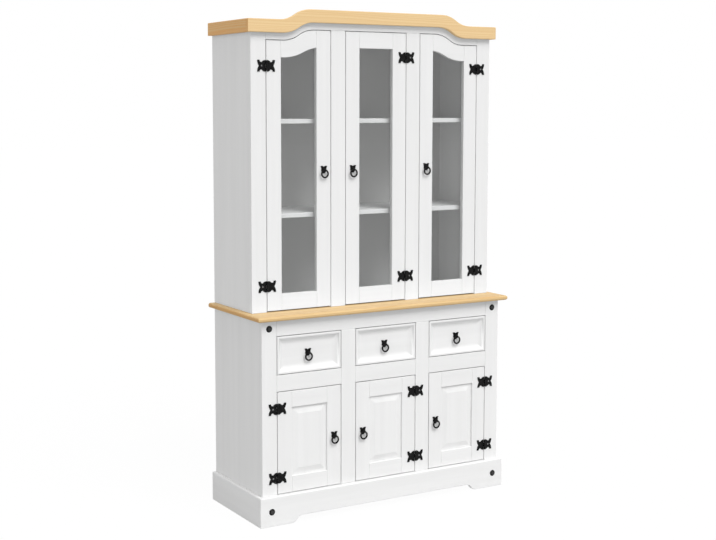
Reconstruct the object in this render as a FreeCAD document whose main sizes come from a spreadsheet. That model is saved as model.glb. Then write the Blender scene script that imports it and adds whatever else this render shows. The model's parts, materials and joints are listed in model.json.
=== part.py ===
import FreeCAD, Part
import math
import os
import re
import Sketcher

# A highboard: a base with three drawers over three doors, and a glazed hutch standing on its worktop.
# Millimetres, +Z up, the front looks along -Y. The origin is on the floor under the middle of the part.

SIZES = [
    # Worktop and the height it lies at
    ("worktop_width", 1120),
    ("worktop_depth", 430),
    ("worktop_thickness", 18),
    ("worktop_edge_radius", 8),
    ("worktop_side_overhang", 26.5),
    ("worktop_front_overhang", 29),
    ("base_height", 762),
    # Boards of both cases
    ("side_board", 18),
    ("floor_board", 15),
    ("partition_board", 16),
    ("back_panel", 6),
    ("frame_stile_width", 61.5),
    # Plinth with its bracket feet
    ("plinth_height", 111),
    ("plinth_board", 16),
    ("plinth_edge_radius", 5),
    ("foot_length", 130),
    ("foot_curve_run", 46),
    ("apron_clearance", 25),
    # Rails of the base's front frame, from the worktop down
    ("top_rail_height", 59.5),
    ("drawer_opening_height", 145),
    ("mid_rail_height", 61),
    # Hutch, with the cornice that rises in the middle
    ("hutch_depth", 325),
    ("hutch_height", 1070),
    ("cornice_height", 48),
    ("cornice_board", 18),
    ("head_reveal", 25),
    ("head_rail_cover", 42),
    ("arch_rise", 40),
    ("arch_margin", 10),
    ("pane_curve_run", 166),
    # Shelves and their pins
    ("shelf_board", 17),
    ("shelf_gap", 0.5),
    ("hutch_first_shelf", 360),
    ("hutch_shelf_pitch", 349.5),
    ("hutch_shelf_setback", 12),
    ("base_shelf_rise", 190),
    ("base_shelf_setback", 40),
    ("shelf_pin_radius", 3),
    ("shelf_pin_length", 12),
    ("shelf_pin_inset", 40),
    # Doors
    ("door_board", 20),
    ("door_gap", 2.5),
    ("base_door_sill_gap", 2.5),
    ("hutch_door_sill_gap", 4),
    ("door_stile_width", 60),
    ("door_rail_height", 61),
    ("glass_thickness", 4),
    ("glazing_bead", 4),
    ("glazing_rebate", 8),
    ("glass_clearance", 0.4),
    ("panel_tongue", 6),
    ("panel_groove_depth", 9),
    ("panel_clearance", 0.3),
    ("panel_margin", 8),
    ("panel_bevel_width", 19),
    ("panel_field_rise", 5),
    # Drawers and what they run on
    ("drawer_front_board", 22),
    ("drawer_lip", 7.5),
    ("cove_steep_width", 7),
    ("cove_steep_depth", 8),
    ("cove_middle_width", 8),
    ("cove_middle_depth", 4.5),
    ("cove_gentle_width", 10),
    ("cove_gentle_depth", 1.5),
    ("drawer_side_board", 12),
    ("drawer_side_height", 118),
    ("drawer_bottom_board", 5),
    ("drawer_bottom_rise", 10),
    ("drawer_groove_depth", 6),
    ("drawer_groove_clearance", 0.2),
    ("drawer_side_clearance", 0.8),
    ("drawer_back_clearance", 25),
    ("runner_clearance", 0.3),
    ("runner_board", 14),
    ("runner_bearing", 12),
    ("guide_height", 30),
    # Butterfly hinges
    ("hinge_leaf", 2),
    ("hinge_oval_half", 20),
    ("hinge_oval_reach", 17.5),
    ("hinge_oval_bend", 16),
    ("hinge_neck_half", 14),
    ("hinge_tail_length", 18.5),
    ("hinge_horn_half", 21),
    ("hinge_horn_width", 9.5),
    ("hinge_horn_bend", 6.5),
    ("hinge_notch_depth", 7),
    ("hinge_notch_bend", 35),
    ("hinge_barrel_radius", 3.6),
    ("hinge_barrel_clearance", 0.6),
    ("hinge_barrel_inset", 2),
    ("hinge_knuckle_half", 7),
    ("hinge_knuckle_gap", 0.3),
    ("hinge_pin_radius", 1.6),
    ("hinge_pin_clearance", 0.05),
    ("hinge_pin_head_radius", 3),
    ("hinge_pin_head_height", 2),
    ("hutch_hinge_inset", 92),
    ("base_hinge_inset", 61),
    # Ring pulls
    ("pull_plate", 2.5),
    ("pull_horn_reach", 14),
    ("pull_horn_width", 9.5),
    ("pull_horn_height", 16),
    ("pull_notch_height", 12),
    ("pull_waist_half", 10.5),
    ("pull_waist_height", 3),
    ("pull_belly_half", 12),
    ("pull_tip_drop", 12.5),
    ("pull_lug_radius", 5.5),
    ("pull_lug_width", 7),
    ("pull_eye_standoff", 9.5),
    ("ring_radius", 13.5),
    ("ring_wire_radius", 3.1),
    ("ring_clearance", 0.3),
    ("door_pull_drop", 0.5),
    ("drawer_pull_drop", 2),
    # Magnetic catches
    ("strike_plate", 1.7),
    ("strike_height", 24),
    ("strike_inset", 2),
    ("catch_clearance", 0.3),
    ("catch_overlap", 16),
    ("catch_hold", 20),
    ("catch_depth", 12),
    ("catch_height", 30),
    # Domed nail heads
    ("nail_head_radius", 12.5),
    ("nail_head_height", 4),
    ("nail_shoulder_radius", 9.5),
    ("nail_shoulder_height", 2.6),
    ("nail_crown_radius", 4.5),
]

doc = FreeCAD.newDocument("highboard")
sheet = doc.addObject("Spreadsheet::Sheet", "sizes")
for row, (alias, size) in enumerate(SIZES, start=1):
    sheet.set(f"A{row}", alias)
    sheet.set(f"B{row}", str(size))
    sheet.setAlias(f"B{row}", alias)
doc.recompute()

ALIASES = {alias for alias, size in SIZES}
BAYS = ("left", "middle", "right")
BAY_STEPS = {"left": -1, "middle": 0, "right": 1}
# The side of its bay that each door is hinged on: -1 is the left stile, 1 the right one.
HINGE_SIDES = {"left": -1, "middle": 1, "right": 1}
HALF_TURN = FreeCAD.Rotation(FreeCAD.Vector(0, 1, 0), 180)
ALONG_X = FreeCAD.Rotation(FreeCAD.Vector(0, 1, 0), 90)
TOWARDS_FRONT = FreeCAD.Rotation(FreeCAD.Vector(1, 0, 0), 90)
NAIL_FLATS = 24
# Places closer than this are the same place.
TOUCH = 0.01

# Levels and places that several pieces share, as expressions of the sizes

# Across the width, from the middle
case_half = "(worktop_width / 2 - worktop_side_overhang)"
inner_half = f"({case_half} - side_board)"
plinth_half = f"({case_half} + plinth_board)"
bay_width = f"((2 * {case_half} - 4 * frame_stile_width) / 3)"
bay_pitch = f"({bay_width} + frame_stile_width)"
bays_half = f"({case_half} - frame_stile_width)"
partition_near = f"({bay_pitch} / 2 - partition_board / 2)"
partition_far = f"({bay_pitch} / 2 + partition_board / 2)"

# Along the depth, from the wall to the front
back_plane = "(worktop_depth / 2)"
back_inner = f"({back_plane} - back_panel)"
frame_board = "(door_board + strike_plate + catch_clearance)"
base_face = "(worktop_front_overhang - worktop_depth / 2)"
base_frame_back = f"({base_face} + {frame_board})"
hutch_face = f"({back_plane} - hutch_depth)"
hutch_frame_back = f"({hutch_face} + {frame_board})"

# Up from the floor
worktop_top = "(base_height + worktop_thickness)"
drawer_head = "(base_height - top_rail_height)"
drawer_floor = f"({drawer_head} - drawer_opening_height)"
base_door_head = f"({drawer_floor} - mid_rail_height)"
base_door_bottom = "(plinth_height + base_door_sill_gap)"
base_door_top = f"({base_door_head} - door_gap)"
cornice_top = f"({worktop_top} + hutch_height)"
arch_line = f"({cornice_top} - cornice_height - head_reveal)"
hutch_top_level = f"({arch_line} + head_reveal + head_rail_cover)"
hutch_floor = f"({worktop_top} + floor_board)"
hutch_door_bottom = f"({worktop_top} + hutch_door_sill_gap)"

# The arch: an S-curve over the glass of each outer door, level over its stiles
arch_outer = f"({bays_half} - door_gap - door_stile_width - arch_margin)"
arch_run = f"({bay_width} - 2 * (door_gap + door_stile_width + arch_margin))"
arch_lean = f"(arch_rise / sqrt(arch_rise^2 + {arch_run}^2))"

# Layers of a door, from its front
glass_setback = "(door_board - glazing_bead - glass_thickness)"
groove_setback = "((door_board - panel_tongue) / 2)"

# The cove round a drawer's field, from its lip inwards
COVE_STEPS = ("steep", "middle", "gentle")
drawer_recess = "(cove_steep_depth + cove_middle_depth + cove_gentle_depth)"

# The hinge pin stands in front of the face by this much
hinge_standoff = "(hinge_barrel_radius + hinge_barrel_clearance)"


def bound(text):
    """The expression with each size read from the sheet."""
    return re.sub("[a-z_]+", lambda word: f"sizes.{word[0]}" if word[0] in ALIASES else word[0], text)


def number(text):
    """What an expression of the sizes comes to."""
    return float(sheet.evalExpression(text))


def bind(item, prop, text):
    item.setExpression(prop, bound(text))


def place(item, x, y, z):
    bind(item, "Placement.Base.x", x)
    bind(item, "Placement.Base.y", y)
    bind(item, "Placement.Base.z", z)


def bay_centre(bay):
    return f"({BAY_STEPS[bay]} * {bay_pitch})"


def box(name, x, y, z):
    """A square-edged board from a low to a high place on each axis."""
    item = doc.addObject("Part::Box", name)
    for prop, (low, high) in (("Length", x), ("Width", y), ("Height", z)):
        bind(item, prop, f"{high} - {low}")
    place(item, x[0], y[0], z[0])
    return item


def cylinder(name, radius, height, rotation=None):
    item = doc.addObject("Part::Cylinder", name)
    bind(item, "Radius", radius)
    bind(item, "Height", height)
    if rotation:
        item.Placement.Rotation = rotation
    return item


def cut(name, base, tool):
    item = doc.addObject("Part::Cut", name)
    item.Base = base
    item.Tool = tool
    return item


def common(name, base, tool):
    item = doc.addObject("Part::Common", name)
    item.Base = base
    item.Tool = tool
    return item


def fuse(name, *pieces):
    item = doc.addObject("Part::MultiFuse", name)
    item.Shapes = list(pieces)
    return item


def group(name, pieces):
    """Separate solids that share one node."""
    item = doc.addObject("Part::Compound", name)
    item.Links = list(pieces)
    return item


def copy_of(name, master, x, y, z, rotation=None):
    """A piece like the master, set down at a place of its own."""
    item = group(name, [master])
    place(item, x, y, z)
    if rotation:
        item.Placement.Rotation = rotation
    return item


def arc_between(start, end, radius, side):
    """The short arc from start to end that bends to the left or the right on the way."""
    chord = end - start
    leftwards = FreeCAD.Vector(-chord.y, chord.x, 0).normalize()
    reach = math.sqrt(radius**2 - (chord.Length / 2) ** 2)
    ends = [start, end]
    if side == "right":
        reach = -reach
        ends.reverse()
    circle = Part.Circle((start + end) / 2 + leftwards * reach, FreeCAD.Vector(0, 0, 1), radius)
    return Part.ArcOfCircle(circle, circle.parameter(ends[0]), circle.parameter(ends[1]))


def outline_board(name, corners, turns, depth):
    """A board sawn to an outline in XZ, from the plane of its back forwards by its depth.

    Each corner is (x, z). Each turn belongs to the edge that leaves its corner: None for a straight
    edge, or the side and the radius of its bend.
    """
    body = doc.addObject("PartDesign::Body", name)
    sketch = body.newObject("Sketcher::SketchObject", f"{name}_outline")
    plane = next(item for item in body.Origin.OriginFeatures if item.Role == "XZ_Plane")
    sketch.AttachmentSupport = [(plane, "")]
    sketch.MapMode = "FlatFace"
    points = [FreeCAD.Vector(number(x), number(z), 0) for x, z in corners]
    leaving = []
    for index, turn in enumerate(turns):
        start = points[index]
        end = points[(index + 1) % len(points)]
        if turn is None:
            sketch.addGeometry(Part.LineSegment(start, end), False)
            leaving.append(1)
            continue
        side, radius = turn
        sketch.addGeometry(arc_between(start, end, number(radius), side), False)
        leaving.append(1 if side == "left" else 2)
        limit = sketch.addConstraint(Sketcher.Constraint("Radius", index, number(radius)))
        bind(sketch, f"Constraints[{limit}]", radius)
    for index, point in enumerate(points):
        before = index - 1 if index else len(points) - 1
        arriving = 3 - leaving[before]
        sketch.addConstraint(Sketcher.Constraint("Coincident", before, arriving, index, leaving[index]))
        for kind, reach, text in zip(("DistanceX", "DistanceY"), point, corners[index]):
            limit = sketch.addConstraint(Sketcher.Constraint(kind, -1, 1, index, leaving[index], reach))
            bind(sketch, f"Constraints[{limit}]", text)
    pad = body.newObject("PartDesign::Pad", f"{name}_pad")
    pad.Profile = sketch
    bind(pad, "Length", depth)
    doc.recompute()
    return body


def straight_edge(half, level):
    return [(f"-{half}", level), (half, level)], [None]


def arched_edge(half, outer, run, rise, level):
    """An edge that lifts in the middle, by an S-curve of two equal arcs at each end."""
    waist = f"({outer} - {run} / 2)"
    inner = f"({outer} - {run})"
    waist_level = f"({level} + {rise} / 2)"
    crown_level = f"({level} + {rise})"
    radius = f"(({run}^2 + {rise}^2) / (4 * {rise}))"
    right = [(inner, crown_level), (waist, waist_level), (outer, level), (half, level)]
    left = [(f"-{x}", z) for x, z in reversed(right)]
    rising = [None, ("left", radius), ("right", radius)]
    falling = [("right", radius), ("left", radius), None]
    return left + right, rising + [None] + falling


def arch_edge(half, height):
    """The cornice's curve at a height above the arch line, parallel to itself at every height."""
    outer = f"({arch_outer} + ({height}) * {arch_lean})"
    return arched_edge(half, outer, arch_run, "arch_rise", f"({arch_line} + ({height}))")


def pane_head_edge(half, height):
    """The curve over the outer panes: longer and softer than the cornice's, with the same rise."""
    return arched_edge(half, arch_outer, "pane_curve_run", "arch_rise", f"({arch_line} + ({height}))")


def board_between(name, lower, upper, depth):
    """A board between two edges that both run from left to right."""
    other_side = {"left": "right", "right": "left"}
    corners, turns = lower
    upper_corners, upper_turns = upper
    returning = [turn and (other_side[turn[0]], turn[1]) for turn in reversed(upper_turns)]
    return outline_board(name, corners + upper_corners[::-1], turns + [None] + returning + [None], depth)


def round_edges(body, radius, is_rounded):
    """Rounds the edges of a board that a test on their box picks out."""
    pad = body.Tip
    edges = enumerate(pad.Shape.Edges, start=1)
    names = [f"Edge{index}" for index, edge in edges if is_rounded(edge.BoundBox)]
    fillet = body.newObject("PartDesign::Fillet", f"{body.Name}_round")
    fillet.Base = (pad, names)
    bind(fillet, "Radius", radius)


def mirrored_boxes(name, x, y, z):
    """The same board on the right and on the left."""
    low, high = x
    return [box(f"{name}_right", x, y, z), box(f"{name}_left", (f"-{high}", f"-{low}"), y, z)]


def between(*places):
    """Two places along one axis as an extent, the lower one first."""
    low, high = sorted(places, key=number)
    return low, high


def frustum(name, half_wide, half_tall, bevel, depth, widest_at_front):
    """A block with four bevelled sides, about the middle of its front plane."""
    wedge = doc.addObject("Part::Wedge", name)
    narrow_wide = f"({half_wide} - {bevel})"
    narrow_tall = f"({half_tall} - {bevel})"
    wide_ends = {"Xmin": f"-{half_wide}", "Xmax": half_wide, "Zmin": f"-{half_tall}", "Zmax": half_tall}
    narrow_ends = {
        "Xmin": f"-{narrow_wide}",
        "Xmax": narrow_wide,
        "Zmin": f"-{narrow_tall}",
        "Zmax": narrow_tall,
    }
    front, back = (wide_ends, narrow_ends) if widest_at_front else (narrow_ends, wide_ends)
    bind(wedge, "Ymin", "0")
    bind(wedge, "Ymax", depth)
    for prop, text in front.items():
        bind(wedge, prop, text)
    for prop, text in back.items():
        bind(wedge, f"{prop[0]}2{prop[1:]}", text)
    return wedge


# Base case


def make_plinth():
    foot_inner = f"({plinth_half} - foot_length)"
    lower = arched_edge(plinth_half, foot_inner, "foot_curve_run", "apron_clearance", "0")
    upper = straight_edge(plinth_half, "plinth_height")
    front = board_between("plinth_front", lower, upper, "plinth_board")
    top = number("plinth_height")
    round_edges(front, "plinth_edge_radius", lambda edge: edge.ZMin > top - TOUCH and edge.YMin < -TOUCH)
    place(front, "0", base_face, "0")
    outer = number(plinth_half)
    sides = []
    for side, end in (("right", 1), ("left", -1)):
        low, high = between(f"({end} * {case_half})", f"({end} * {plinth_half})")
        corners = [(low, "0"), (high, "0"), (high, "plinth_height"), (low, "plinth_height")]
        board = outline_board(f"plinth_side_{side}", corners, [None] * 4, f"{back_plane} - {base_face}")
        round_edges(
            board,
            "plinth_edge_radius",
            lambda edge: edge.ZMin > top - TOUCH and abs(edge.Center.x) > outer - TOUCH,
        )
        place(board, "0", back_plane, "0")
        sides.append(board)
    return [front, group("plinth_sides", sides)]


def make_base_case():
    across = (f"-{inner_half}", inner_half)
    behind_frame = (base_frame_back, back_inner)
    to_wall = (base_frame_back, back_plane)
    floor_level = "(plinth_height - floor_board)"
    above_floor = ("plinth_height", "base_height")
    sides = mirrored_boxes("base_side", (inner_half, case_half), to_wall, ("0", "base_height"))
    bottom = box("base_bottom", across, behind_frame, (floor_level, "plinth_height"))
    back = box("base_back", across, (back_inner, back_plane), (floor_level, "base_height"))
    partition = (partition_near, partition_far)
    partitions = mirrored_boxes("base_partition", partition, behind_frame, above_floor)
    return [group("base_sides", sides), bottom, back, group("base_partitions", partitions)]


def make_base_frame():
    thick = (base_face, base_frame_back)
    mullion = (f"({bay_width} / 2)", f"({bay_width} / 2 + frame_stile_width)")
    stiles = mirrored_boxes("base_stile", (bays_half, case_half), thick, ("0", "base_height"))
    stiles += mirrored_boxes("base_mullion", mullion, thick, ("plinth_height", drawer_head))
    across = (f"-{bays_half}", bays_half)
    rails = [
        box("base_top_rail", across, thick, (drawer_head, "base_height")),
        box("base_bottom_rail", across, thick, ("(plinth_height - mid_rail_height)", "plinth_height")),
    ]
    for bay in BAYS:
        low = f"({bay_centre(bay)} - {bay_width} / 2)"
        high = f"({bay_centre(bay)} + {bay_width} / 2)"
        rails.append(box(f"base_mid_rail_{bay}", (low, high), thick, (base_door_head, drawer_floor)))
    return [group("base_stiles", stiles), group("base_rails", rails)]


def bay_walls(bay):
    """The inner faces of what stands to the left and the right of a bay in the base."""
    walls = {
        "left": (f"-{inner_half}", f"-{partition_far}"),
        "middle": (f"-{partition_near}", partition_near),
        "right": (partition_far, inner_half),
    }
    return walls[bay]


def make_runners():
    along = (base_frame_back, back_inner)
    under = (f"({drawer_floor} - runner_board)", drawer_floor)
    beside = (drawer_floor, f"({drawer_floor} + guide_height)")
    pieces = []
    for bay in BAYS:
        wall_low, wall_high = bay_walls(bay)
        edge_low = f"({bay_centre(bay)} - {bay_width} / 2)"
        edge_high = f"({bay_centre(bay)} + {bay_width} / 2)"
        pieces += [
            box(f"runner_{bay}_low", (wall_low, f"({edge_low} + runner_bearing)"), along, under),
            box(f"runner_{bay}_high", (f"({edge_high} - runner_bearing)", wall_high), along, under),
            box(f"guide_{bay}_low", (wall_low, edge_low), along, beside),
            box(f"guide_{bay}_high", (edge_high, wall_high), along, beside),
        ]
    return [group("drawer_runners", pieces)]


def shelf_with_pins(name, wall_low, wall_high, front, top):
    """A loose shelf between two walls, on two pins at each end."""
    under = f"({top} - shelf_board)"
    back = f"({back_inner} - shelf_gap)"
    across = (f"({wall_low} + shelf_gap)", f"({wall_high} - shelf_gap)")
    shelf = box(name, across, (front, back), (under, top))
    pins = []
    for end, start in (("low", wall_low), ("high", f"({wall_high} - shelf_pin_length)")):
        for row, y in (("front", f"{front} + shelf_pin_inset"), ("back", f"{back} - shelf_pin_inset")):
            pin = cylinder(f"{name}_pin_{end}_{row}", "shelf_pin_radius", "shelf_pin_length", ALONG_X)
            place(pin, start, y, f"{under} - shelf_pin_radius")
            pins.append(pin)
    return shelf, pins


def make_shelves():
    base_shelves = []
    hutch_shelves = []
    pins = []
    for bay in BAYS:
        front = f"({base_frame_back} + base_shelf_setback)"
        top = "(plinth_height + base_shelf_rise)"
        shelf, its_pins = shelf_with_pins(f"base_shelf_{bay}", *bay_walls(bay), front, top)
        base_shelves.append(shelf)
        pins += its_pins
    for index, level in enumerate(("lower", "upper")):
        front = f"({hutch_frame_back} + hutch_shelf_setback)"
        top = f"({worktop_top} + hutch_first_shelf + {index} * hutch_shelf_pitch)"
        shelf, its_pins = shelf_with_pins(f"hutch_shelf_{level}", f"-{inner_half}", inner_half, front, top)
        hutch_shelves.append(shelf)
        pins += its_pins
    return [
        group("base_shelves", base_shelves),
        group("hutch_shelves", hutch_shelves),
        group("shelf_pins", pins),
    ]


def make_worktop():
    half = "(worktop_width / 2)"
    lower = straight_edge(half, "0")
    upper = straight_edge(half, "worktop_thickness")
    top = board_between("worktop", lower, upper, "worktop_depth")
    thick = number("worktop_thickness")
    round_edges(top, "worktop_edge_radius", lambda edge: edge.ZLength < thick / 2 and edge.YMin < -TOUCH)
    place(top, "0", back_plane, "base_height")
    return [top]


def make_nail_heads():
    """Low domes raised in flats, as under a hammer: each has a rim, a shoulder and a crown."""
    stile_middle = f"({case_half} - frame_stile_width / 2)"
    rows = {
        "frame": (base_face, f"({drawer_head} + top_rail_height / 2)"),
        "plinth": (f"({base_face} - plinth_board)", "(plinth_height / 2)"),
    }
    tiers = {
        "rim": ("nail_head_radius", "0"),
        "shoulder": ("nail_shoulder_radius", "nail_shoulder_height"),
        "crown": ("nail_crown_radius", "nail_head_height"),
    }
    heads = []
    for row, (face, level) in rows.items():
        for side, x in (("right", stile_middle), ("left", f"-{stile_middle}")):
            sections = []
            for tier, (radius, rise) in tiers.items():
                section = doc.addObject("Part::RegularPolygon", f"nail_{tier}_{row}_{side}")
                section.Polygon = NAIL_FLATS
                bind(section, "Circumradius", radius)
                section.Placement.Rotation = TOWARDS_FRONT
                place(section, x, f"{face} - {rise}", level)
                sections.append(section)
            head = doc.addObject("Part::Loft", f"nail_head_{row}_{side}")
            head.Sections = sections
            head.Solid = True
            head.Ruled = True
            heads.append(head)
    return [group("nail_heads", heads)]


# Hutch


def make_hutch_case():
    behind_frame = (hutch_frame_back, back_inner)
    across = (f"-{inner_half}", inner_half)
    tall = (worktop_top, hutch_top_level)
    sides = mirrored_boxes("hutch_side", (inner_half, case_half), (hutch_frame_back, back_plane), tall)
    bottom = box("hutch_bottom", across, behind_frame, (worktop_top, hutch_floor))
    top = box("hutch_top", across, behind_frame, (f"({hutch_top_level} - floor_board)", hutch_top_level))
    back = box("hutch_back", across, (back_inner, back_plane), tall)
    return [group("hutch_sides", sides), bottom, top, back]


def make_hutch_frame():
    thick = (hutch_face, hutch_frame_back)
    mullion = (f"({bay_width} / 2)", f"({bay_width} / 2 + frame_stile_width)")
    stiles = mirrored_boxes("hutch_stile", (bays_half, case_half), thick, (worktop_top, hutch_top_level))
    stiles += mirrored_boxes("hutch_mullion", mullion, thick, (worktop_top, f"({arch_line} + arch_rise)"))
    lower = arch_edge(bays_half, "0")
    upper = arch_edge(bays_half, "head_reveal + head_rail_cover")
    rail = board_between("hutch_head_rail", lower, upper, frame_board)
    place(rail, "0", hutch_frame_back, "0")
    return [group("hutch_stiles", stiles), rail]


def make_cornice():
    half = f"({case_half} + cornice_board)"
    lower = arch_edge(half, "head_reveal")
    upper = arch_edge(half, "head_reveal + cornice_height")
    front = board_between("cornice_front", lower, upper, "cornice_board")
    place(front, "0", hutch_face, "0")
    tall = (f"({cornice_top} - cornice_height)", cornice_top)
    sides = mirrored_boxes("cornice_side", (case_half, half), (hutch_face, back_plane), tall)
    return [front, group("cornice_sides", sides)]


# Iron fittings, each drawn once at the origin


def leaf_plate(name):
    """Half of a butterfly, from the pin out to its horns, with its back at the origin's plane."""
    reach = "(hinge_oval_reach + hinge_tail_length)"
    upper = [
        ("0", "hinge_oval_half"),
        ("hinge_oval_reach", "hinge_neck_half"),
        (f"({reach} - hinge_horn_width)", "hinge_horn_half"),
        (reach, "hinge_horn_half"),
    ]
    notch = [(f"({reach} - hinge_notch_depth)", "0")]
    lower = [(x, f"-{z}") for x, z in reversed(upper)]
    oval = ("right", "hinge_oval_bend")
    horn = ("left", "hinge_horn_bend")
    tail = ("right", "hinge_notch_bend")
    turns = [oval, horn, None, tail, tail, None, horn, oval, None]
    return outline_board(name, upper + notch + lower, turns, "hinge_leaf")


def hinge_leaf(name, knuckles, gaps):
    """A leaf with its share of the barrel: it is cut away where the other leaf has a knuckle."""
    plate = leaf_plate(f"{name}_plate")
    place(plate, "0", hinge_standoff, "0")
    barrel = []
    for index, (low, high) in enumerate(knuckles):
        knuckle = cylinder(f"{name}_knuckle_{index}", "hinge_barrel_radius", f"{high} - {low}")
        place(knuckle, "0", "0", low)
        barrel.append(knuckle)
    notch_wide = ("-hinge_barrel_radius", "(hinge_barrel_radius + hinge_knuckle_gap)")
    notch_thick = (f"({hinge_standoff} - 2 * hinge_leaf)", f"({hinge_standoff} + hinge_leaf)")
    notched = plate
    for index, tall in enumerate(gaps):
        notch = box(f"{name}_notch_{index}", notch_wide, notch_thick, tall)
        notched = cut(f"{name}_notched_{index}", notched, notch)
    bore = cylinder(f"{name}_bore", "hinge_pin_radius + hinge_pin_clearance", "4 * hinge_oval_half")
    place(bore, "0", "0", "-2 * hinge_oval_half")
    return cut(name, fuse(f"{name}_blank", notched, *barrel), bore)


def make_hinge_masters():
    outer_end = "(hinge_oval_half - hinge_barrel_inset)"
    gap_end = "(hinge_knuckle_half + hinge_knuckle_gap)"
    middle = [("-hinge_knuckle_half", "hinge_knuckle_half")]
    middle_room = [(f"-{gap_end}", gap_end)]
    ends = [(gap_end, outer_end), (f"-{outer_end}", f"-{gap_end}")]
    beyond = "(2 * hinge_oval_half)"
    end_rooms = [("hinge_knuckle_half", beyond), (f"-{beyond}", "-hinge_knuckle_half")]
    door_leaf = hinge_leaf("door_leaf", middle, end_rooms)
    frame_leaf = hinge_leaf("frame_leaf", ends, middle_room)
    shank = cylinder("hinge_pin_shank", "hinge_pin_radius", f"2 * {outer_end}")
    place(shank, "0", "0", f"-{outer_end}")
    head = cylinder("hinge_pin_head", "hinge_pin_head_radius", "hinge_pin_head_height")
    place(head, "0", "0", outer_end)
    return door_leaf, frame_leaf, fuse("hinge_pin", shank, head)


def make_pull_master():
    """The pull's plate with the eye for its ring; the eye is at the origin."""
    right = [
        ("pull_belly_half", "0"),
        ("pull_waist_half", "pull_waist_height"),
        ("pull_horn_reach", "pull_horn_height"),
        ("(pull_horn_reach - pull_horn_width)", "pull_horn_height"),
    ]
    left = [(f"-{x}", z) for x, z in reversed(right)]
    corners = [("0", "-pull_tip_drop")] + right + [("0", "pull_notch_height")] + left
    tip = ("left", "2 * pull_tip_drop")
    belly = ("left", "2 * pull_belly_half")
    horn = ("right", "2 * pull_horn_reach")
    turns = [tip, belly, horn, None, horn, horn, None, horn, belly, tip]
    plate = outline_board("pull_plate_outline", corners, turns, "pull_plate")
    place(plate, "0", "pull_eye_standoff", "0")
    lug_half = "(pull_lug_width / 2)"
    stem = box(
        "pull_stem",
        (f"-{lug_half}", lug_half),
        ("0", "pull_eye_standoff"),
        ("-pull_lug_radius", "pull_lug_radius"),
    )
    lug = cylinder("pull_lug", "pull_lug_radius", "pull_lug_width", ALONG_X)
    place(lug, f"-{lug_half}", "0", "0")
    sag = "(ring_radius - sqrt(ring_radius^2 - pull_lug_width^2 / 4))"
    eye = cylinder("pull_eye", f"ring_wire_radius + {sag} + ring_clearance", "2 * pull_lug_width", ALONG_X)
    place(eye, "-pull_lug_width", "0", "0")
    return cut("pull_master", fuse("pull_blank", plate, stem, lug), eye)


def make_ring_master():
    ring = doc.addObject("Part::Torus", "ring_master")
    bind(ring, "Radius1", "ring_radius")
    bind(ring, "Radius2", "ring_wire_radius")
    ring.Placement.Rotation = TOWARDS_FRONT
    place(ring, "0", "0", "-ring_radius")
    return ring


door_leaf, frame_leaf, hinge_pin = make_hinge_masters()
pull_master = make_pull_master()
ring_master = make_ring_master()
frame_leaves = []
catches = []


def hang_door(name, bay, face, low, high, hinge_inset, pull_level):
    """The iron of a door: its hinge leaves, its pull, its ring and the strike of its catch."""
    side = HINGE_SIDES[bay]
    hinge_x = f"({bay_centre(bay)} + {side} * ({bay_width} / 2 - door_gap / 2))"
    hinge_y = f"({face} - {hinge_standoff})"
    door_turn, frame_turn = (None, HALF_TURN) if side < 0 else (HALF_TURN, None)
    iron = []
    for row, z in (("lower", f"{low} + {hinge_inset}"), ("upper", f"{high} - {hinge_inset}")):
        tag = f"{name}_{row}"
        iron.append(copy_of(f"{tag}_door_leaf", door_leaf, hinge_x, hinge_y, z, door_turn))
        frame_leaves.append(copy_of(f"{tag}_frame_leaf", frame_leaf, hinge_x, hinge_y, z, frame_turn))
        frame_leaves.append(copy_of(f"{tag}_pin", hinge_pin, hinge_x, hinge_y, z))
    pull_x = f"({bay_centre(bay)} - {side} * ({bay_width} / 2 - door_gap - door_stile_width / 2))"
    pull_y = f"({face} - pull_eye_standoff)"
    iron.append(copy_of(f"{name}_pull", pull_master, pull_x, pull_y, pull_level))
    free_edge = f"({bay_centre(bay)} - {side} * {bay_width} / 2)"
    over_door = f"({free_edge} + {side} * catch_overlap)"
    strike_wide = between(over_door, f"({free_edge} + {side} * (door_gap + strike_inset))")
    catch_wide = between(over_door, f"({free_edge} - {side} * catch_hold)")
    door_back = f"({face} + door_board)"
    frame_back = f"({face} + {frame_board})"
    strike_tall = (f"({pull_level} - strike_height / 2)", f"({pull_level} + strike_height / 2)")
    catch_tall = (f"({pull_level} - catch_height / 2)", f"({pull_level} + catch_height / 2)")
    strike_thick = (door_back, f"({door_back} + strike_plate)")
    catch_thick = (frame_back, f"({frame_back} + catch_depth)")
    iron.append(box(f"{name}_strike", strike_wide, strike_thick, strike_tall))
    catches.append(box(f"{name}_catch", catch_wide, catch_thick, catch_tall))
    ring = copy_of(f"{name}_ring", ring_master, pull_x, pull_y, pull_level)
    return [group(f"{name}_iron", iron), ring]


# Base doors: a raised and fielded panel held in the grooves of a frame


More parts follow.
